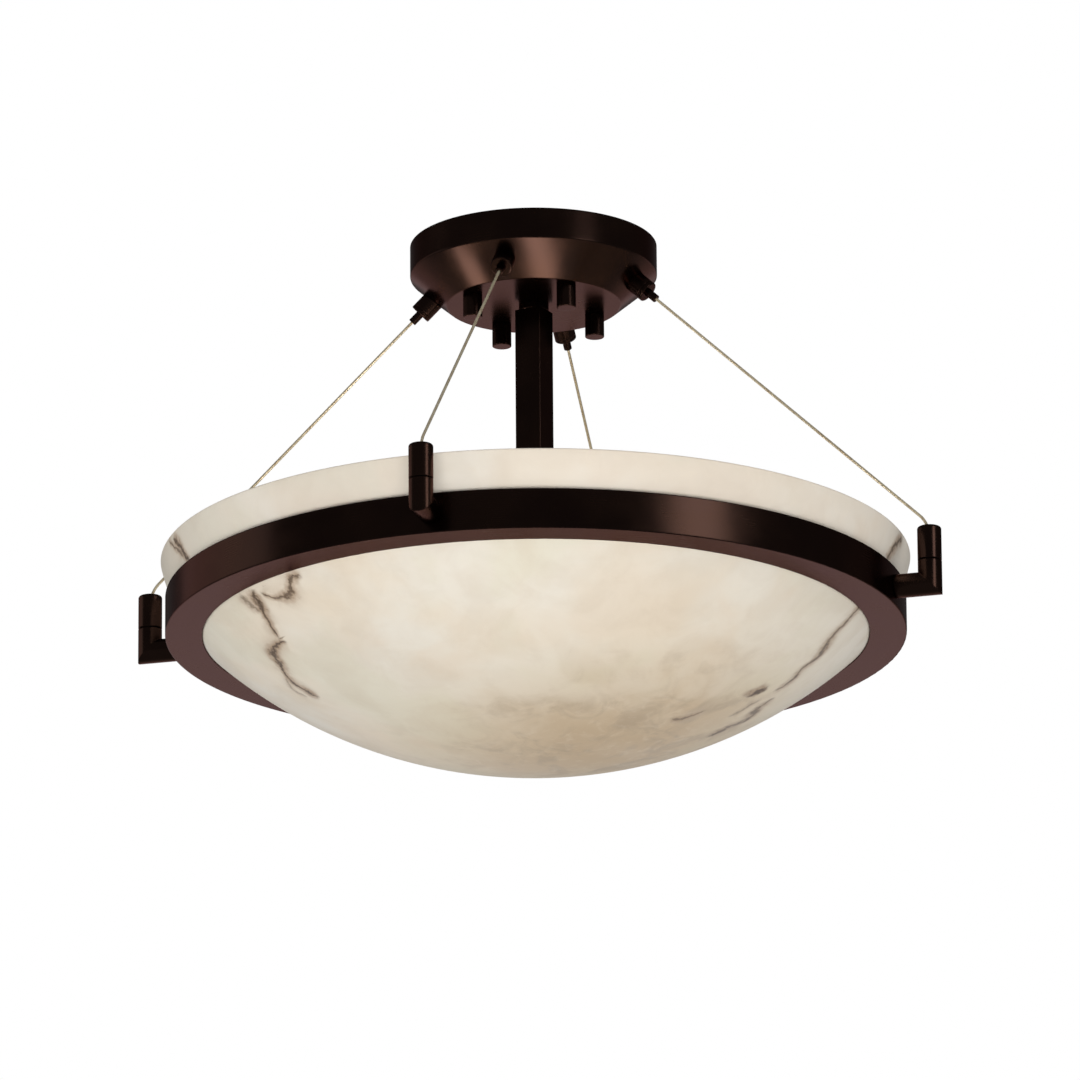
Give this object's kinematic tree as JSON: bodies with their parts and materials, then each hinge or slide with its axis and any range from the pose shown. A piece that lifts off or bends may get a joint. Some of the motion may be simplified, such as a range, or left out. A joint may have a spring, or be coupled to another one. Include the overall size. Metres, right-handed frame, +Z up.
{
  "type": "semi flush ceiling light",
  "caption": "Semi flush ceiling light: a shallow stone-look bowl rests in a flat ring that hangs on thin cables from a round coned canopy, with a square stem to the lamps.",
  "frame": {"origin": "centre of the mounting plate's top face, on the ceiling", "axes": "+Z up towards the ceiling, -Y the front of the picture, +X to its right"},
  "size_m": [0.532, 0.532, 0.3557],
  "materials": {
    "dark_bronze": "satin dark bronze",
    "zinc_steel": "bright zinc plated",
    "cable_steel": "stranded wire",
    "green_screw": "green passivated",
    "porcelain": "glazed",
    "socket_brass": "pressed",
    "bulb_cap": "pressed",
    "frosted_glass": "frosted inside",
    "faux_alabaster": "satin, clouded cream with dark veins"
  },
  "bodies": {
    "fixture": {"canopy_shell": "dark_bronze", "stem_collar": "dark_bronze", "stem_tube": "dark_bronze", "ring_frame": "dark_bronze", "gripper_collars": "dark_bronze", "gripper_body_1": "dark_bronze", "gripper_body_2": "dark_bronze", "gripper_body_3": "dark_bronze", "gripper_body_4": "dark_bronze", "post_elbow_1": "dark_bronze", "post_elbow_2": "dark_bronze", "post_elbow_3": "dark_bronze", "post_elbow_4": "dark_bronze", "lamp_hub": "dark_bronze", "hub_cover": "dark_bronze", "mounting_plate": "zinc_steel", "plate_studs": "zinc_steel", "stud_nuts": "zinc_steel", "stem_washer": "zinc_steel", "stem_nut": "zinc_steel", "stem_rod": "zinc_steel", "hub_nut": "zinc_steel", "nipple_nuts": "zinc_steel", "socket_nipples": "zinc_steel", "gripper_nuts": "zinc_steel", "post_screws": "zinc_steel", "cable_stops": "zinc_steel", "cable_1": "cable_steel", "cable_2": "cable_steel", "cable_3": "cable_steel", "cable_4": "cable_steel", "ground_screw": "green_screw", "lampholder_1": "porcelain", "lampholder_2": "porcelain", "lampholder_3": "porcelain", "screw_shells": "socket_brass", "lamp_contacts": "socket_brass"},
    "bowl": {"bowl_shade": "faux_alabaster"},
    "bulb_1": {"bulb_base_1": "bulb_cap", "bulb_glass_1": "frosted_glass"},
    "bulb_2": {"bulb_base_2": "bulb_cap", "bulb_glass_2": "frosted_glass"},
    "bulb_3": {"bulb_base_3": "bulb_cap", "bulb_glass_3": "frosted_glass"},
    "cap_nut_1": {"cap_nut_1": "dark_bronze"},
    "gripper_tip_1": {"gripper_tip_1": "dark_bronze"},
    "post_cap_1": {"post_cap_1": "dark_bronze"},
    "cap_nut_2": {"cap_nut_2": "dark_bronze"},
    "gripper_tip_2": {"gripper_tip_2": "dark_bronze"},
    "post_cap_2": {"post_cap_2": "dark_bronze"},
    "cap_nut_3": {"cap_nut_3": "dark_bronze"},
    "gripper_tip_3": {"gripper_tip_3": "dark_bronze"},
    "post_cap_3": {"post_cap_3": "dark_bronze"},
    "cap_nut_4": {"cap_nut_4": "dark_bronze"},
    "gripper_tip_4": {"gripper_tip_4": "dark_bronze"},
    "post_cap_4": {"post_cap_4": "dark_bronze"}
  },
  "joints": [
    {"name": "bowl_lift", "type": "slide", "parent": "fixture", "child": "bowl", "axis": [0, 0, 1], "range_m": [0, 0.012]},
    {"name": "bulb_turn_1", "type": "hinge", "parent": "fixture", "child": "bulb_1", "pos_m": [0, 0.05, -0.262], "axis": [0, 1, 0], "continuous": true},
    {"name": "bulb_turn_2", "type": "hinge", "parent": "fixture", "child": "bulb_2", "pos_m": [-0.0433, -0.025, -0.262], "axis": [-0.866, -0.5, 0], "continuous": true},
    {"name": "bulb_turn_3", "type": "hinge", "parent": "fixture", "child": "bulb_3", "pos_m": [0.0433, -0.025, -0.262], "axis": [0.866, -0.5, 0], "continuous": true},
    {"name": "cap_nut_turn_1", "type": "hinge", "parent": "fixture", "child": "cap_nut_1", "pos_m": [0.04062, 0.0216, -0.041], "axis": [0, 0, 1], "continuous": true},
    {"name": "cap_nut_turn_2", "type": "hinge", "parent": "fixture", "child": "cap_nut_2", "pos_m": [-0.0216, 0.04062, -0.041], "axis": [0, 0, 1], "continuous": true},
    {"name": "cap_nut_turn_3", "type": "hinge", "parent": "fixture", "child": "cap_nut_3", "pos_m": [-0.04062, -0.0216, -0.041], "axis": [0, 0, 1], "continuous": true},
    {"name": "cap_nut_turn_4", "type": "hinge", "parent": "fixture", "child": "cap_nut_4", "pos_m": [0.0216, -0.04062, -0.041], "axis": [0, 0, 1], "continuous": true},
    {"name": "gripper_release_1", "type": "slide", "parent": "fixture", "child": "gripper_tip_1", "axis": [-0.7004, 0.1969, 0.6861], "range_m": [0, 0.0025], "stiffness_N_per_m": 2000, "springref_m": -0.0015},
    {"name": "gripper_release_2", "type": "slide", "parent": "fixture", "child": "gripper_tip_2", "axis": [-0.1969, -0.7004, 0.6861], "range_m": [0, 0.0025], "stiffness_N_per_m": 2000, "springref_m": -0.0015},
    {"name": "gripper_release_3", "type": "slide", "parent": "fixture", "child": "gripper_tip_3", "axis": [0.7004, -0.1969, 0.6861], "range_m": [0, 0.0025], "stiffness_N_per_m": 2000, "springref_m": -0.0015},
    {"name": "gripper_release_4", "type": "slide", "parent": "fixture", "child": "gripper_tip_4", "axis": [0.1969, 0.7004, 0.6861], "range_m": [0, 0.0025], "stiffness_N_per_m": 2000, "springref_m": -0.0015},
    {"name": "post_cap_turn_1", "type": "hinge", "parent": "fixture", "child": "post_cap_1", "pos_m": [0.258, -0.07252, -0.21965], "axis": [0, 0, 1], "continuous": true},
    {"name": "post_cap_turn_2", "type": "hinge", "parent": "fixture", "child": "post_cap_2", "pos_m": [0.07252, 0.258, -0.21965], "axis": [0, 0, 1], "continuous": true},
    {"name": "post_cap_turn_3", "type": "hinge", "parent": "fixture", "child": "post_cap_3", "pos_m": [-0.258, 0.07252, -0.21965], "axis": [0, 0, 1], "continuous": true},
    {"name": "post_cap_turn_4", "type": "hinge", "parent": "fixture", "child": "post_cap_4", "pos_m": [-0.07252, -0.258, -0.21965], "axis": [0, 0, 1], "continuous": true}
  ]
}
